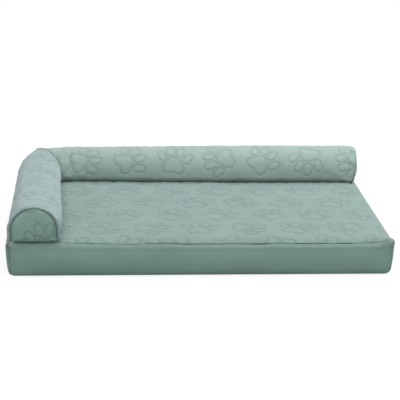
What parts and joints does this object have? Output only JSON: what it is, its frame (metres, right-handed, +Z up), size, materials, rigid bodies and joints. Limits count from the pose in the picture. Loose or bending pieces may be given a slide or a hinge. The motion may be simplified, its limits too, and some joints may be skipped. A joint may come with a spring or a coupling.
{
  "type": "chaise dog bed",
  "caption": "Rectangular foam dog bed in a zipped velvet cover, quilted on top, with a round stuffed bolster along its back and its left side.",
  "frame": {"origin": "centre of the underside, on the floor", "axes": "+X to the right along the back bolster, +Y from the open front to the back bolster, +Z up"},
  "size_m": [0.762, 0.5138, 0.14],
  "materials": {
    "quilted_velvet": "short-pile velvet, spot-welded to its wadding in an outline quilt",
    "plain_velvet": "smooth short-pile velvet",
    "wadding": "loose polyester wadding",
    "scrim": "thin spunbond cloth",
    "base_cloth": "plain woven polyester, matte",
    "foam": "open-cell polyurethane foam, egg-crate top",
    "fibre_fill": "blown polyester fibre",
    "zipper_tape": "woven polyester tape",
    "zipper_teeth": "moulded acetal",
    "zipper_metal": "nickel-plated die casting"
  },
  "bodies": {
    "cover": {"foam_core": "foam", "sleep_panel_backing": "scrim", "sleep_panel_wadding": "wadding", "sleep_panel_face": "quilted_velvet", "front_gusset": "plain_velvet", "left_gusset": "plain_velvet", "right_gusset": "plain_velvet", "rear_gusset_upper": "plain_velvet", "rear_gusset_lower": "plain_velvet", "base_panel": "base_cloth", "zipper_tape_upper": "zipper_tape", "zipper_tape_lower": "zipper_tape", "zipper_teeth_upper": "zipper_teeth", "zipper_teeth_lower": "zipper_teeth", "zipper_stops": "zipper_metal", "left_bolster_face": "quilted_velvet", "left_bolster_wadding": "wadding", "left_bolster_fill": "fibre_fill", "left_bolster_end": "quilted_velvet", "back_bolster_face": "quilted_velvet", "back_bolster_wadding": "wadding", "back_bolster_fill": "fibre_fill", "back_bolster_end": "quilted_velvet"},
    "slider": {"zipper_slider": "zipper_metal"},
    "pull": {"zipper_pull": "zipper_metal"}
  },
  "joints": [
    {"name": "zipper_slide", "type": "slide", "parent": "cover", "child": "slider", "axis": [-1, 0, 0], "range_m": [0, 0.592], "deforming": ["zipper_teeth_upper", "zipper_teeth_lower"]},
    {"name": "pull_swing", "type": "hinge", "parent": "slider", "child": "pull", "pos_m": [0.29846, 0.25745, 0.032], "axis": [1, 0, 0], "range_deg": [0, 170]}
  ]
}
